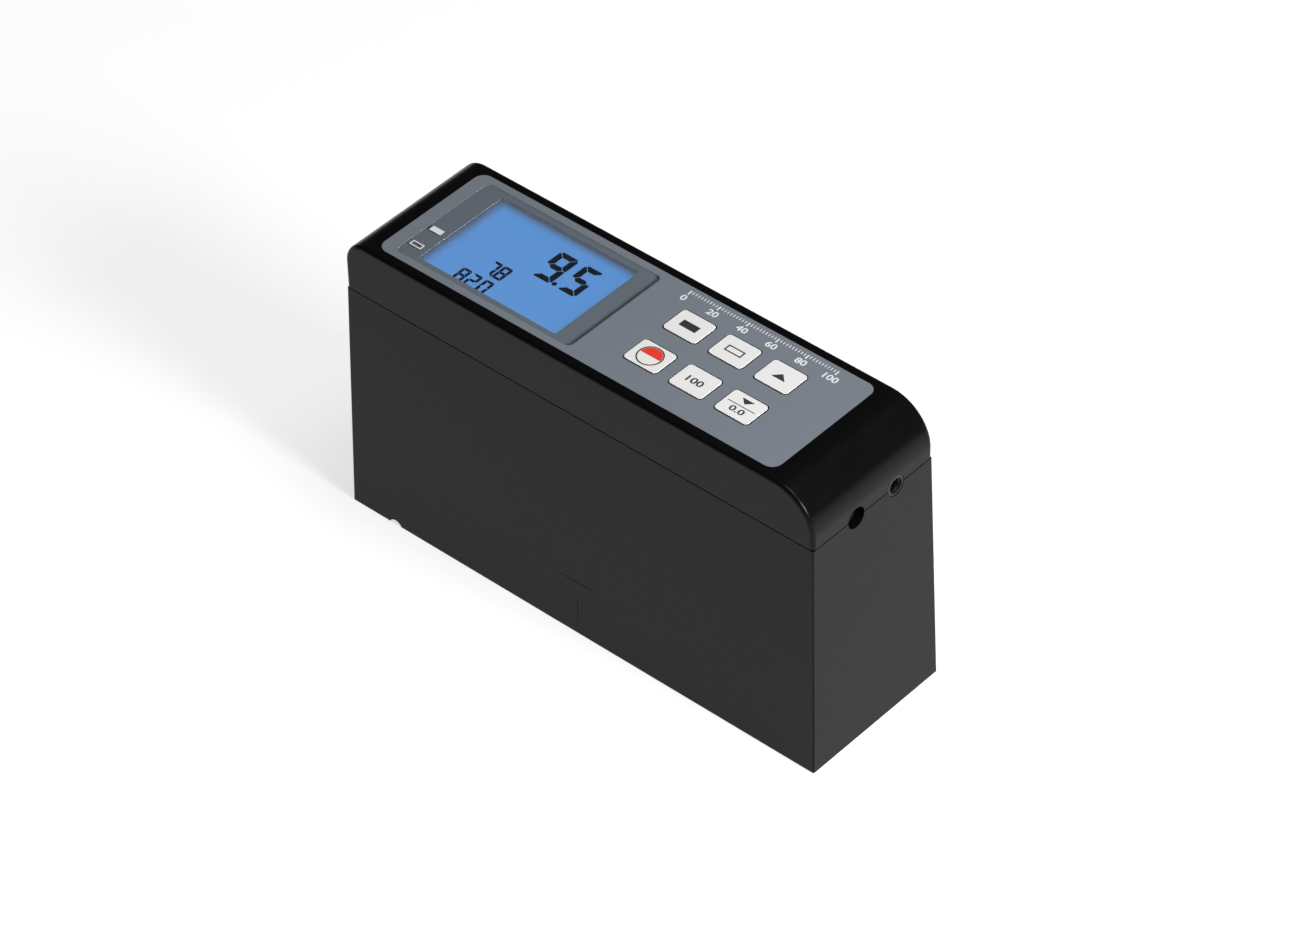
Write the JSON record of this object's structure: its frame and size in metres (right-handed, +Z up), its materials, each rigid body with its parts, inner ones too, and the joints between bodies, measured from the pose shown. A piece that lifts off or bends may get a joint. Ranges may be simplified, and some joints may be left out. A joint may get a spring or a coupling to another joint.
{
  "type": "reflectance meter",
  "caption": "Hand-held meter that stands on a sheet and measures how much light it reflects, with a blue display, white keys, a data jack and a battery door.",
  "frame": {"origin": "middle of the base, on the plane that it stands on", "axes": "+X along the case towards the sockets, +Y to the back, +Z up"},
  "size_m": [0.14, 0.0428, 0.0784],
  "materials": {
    "case_black": "satin moulded grain",
    "panel_grey": "printed film, satin",
    "clear": "polished",
    "mask_grey": "printed",
    "display_blue": "backlit liquid crystal panel",
    "light_guide": "translucent",
    "contact_rubber": "matt",
    "frame_white": "matt",
    "board_green": "solder mask",
    "part_black": "matt",
    "socket_ivory": "matt",
    "steel": "zinc plated",
    "nickel": "nickel plated",
    "socket_grey": "matt",
    "block_black": "black anodised",
    "lamp_white": "clear resin",
    "cable_grey": "flat cable",
    "cable_red": "insulated wire",
    "cell_blue": "printed sleeve",
    "contact_brass": "nickel-plated spring brass",
    "key_white": "satin"
  },
  "bodies": {
    "case": {"lower_case": "case_black", "top_cover": "case_black", "overlay_panel": "panel_grey", "display_window": "clear", "display_mask": "mask_grey", "lcd_glass": "display_blue", "backlight": "light_guide", "lcd_strips": "contact_rubber", "lcd_frame": "frame_white", "main_board": "board_green", "processor": "part_black", "board_sockets": "socket_ivory", "switch_housings": "part_black", "switch_domes": "steel", "data_jack": "socket_grey", "jack_sleeve": "nickel", "power_inlet": "part_black", "inlet_pin": "nickel", "optical_block": "block_black", "dust_window": "clear", "window_seal": "contact_rubber", "lamp_lens": "clear", "sensor_lens": "clear", "lens_rings": "part_black", "lamp": "lamp_white", "lamp_board": "board_green", "light_sensor": "nickel", "sensor_board": "board_green", "sensor_ribbon": "cable_grey", "lamp_ribbon": "cable_grey", "battery_holder": "part_black", "cell_left_front": "cell_blue", "cell_left_back": "cell_blue", "cell_right_front": "cell_blue", "cell_right_back": "cell_blue", "contact_leaves": "contact_brass", "contact_plates": "contact_brass", "battery_leads": "cable_red", "case_screws": "steel", "board_screws": "steel", "block_screws": "steel", "optics_screws": "steel"},
    "battery_door": {"battery_door": "case_black"},
    "key_power": {"key_power": "key_white", "plunger_power": "part_black"},
    "key_calibrate": {"key_calibrate": "key_white", "plunger_calibrate": "part_black"},
    "key_down": {"key_down": "key_white", "plunger_down": "part_black"},
    "key_black": {"key_black": "key_white", "plunger_black": "part_black"},
    "key_white": {"key_white": "key_white", "plunger_white": "part_black"},
    "key_up": {"key_up": "key_white", "plunger_up": "part_black"}
  },
  "joints": [
    {"name": "battery_door_swing", "type": "hinge", "parent": "case", "child": "battery_door", "pos_m": [-0.03675, 0, 0], "axis": [0, -1, 0], "range_deg": [0, 60]},
    {"name": "power_press", "type": "slide", "parent": "case", "child": "key_power", "axis": [0, 0, -1], "range_m": [0, 0.0004], "stiffness_N_per_m": 3000, "springref_m": -0.0001},
    {"name": "calibrate_press", "type": "slide", "parent": "case", "child": "key_calibrate", "axis": [0, 0, -1], "range_m": [0, 0.0004], "stiffness_N_per_m": 3000, "springref_m": -0.0001},
    {"name": "down_press", "type": "slide", "parent": "case", "child": "key_down", "axis": [0, 0, -1], "range_m": [0, 0.0004], "stiffness_N_per_m": 3000, "springref_m": -0.0001},
    {"name": "black_press", "type": "slide", "parent": "case", "child": "key_black", "axis": [0, 0, -1], "range_m": [0, 0.0004], "stiffness_N_per_m": 3000, "springref_m": -0.0001},
    {"name": "white_press", "type": "slide", "parent": "case", "child": "key_white", "axis": [0, 0, -1], "range_m": [0, 0.0004], "stiffness_N_per_m": 3000, "springref_m": -0.0001},
    {"name": "up_press", "type": "slide", "parent": "case", "child": "key_up", "axis": [0, 0, -1], "range_m": [0, 0.0004], "stiffness_N_per_m": 3000, "springref_m": -0.0001}
  ]
}
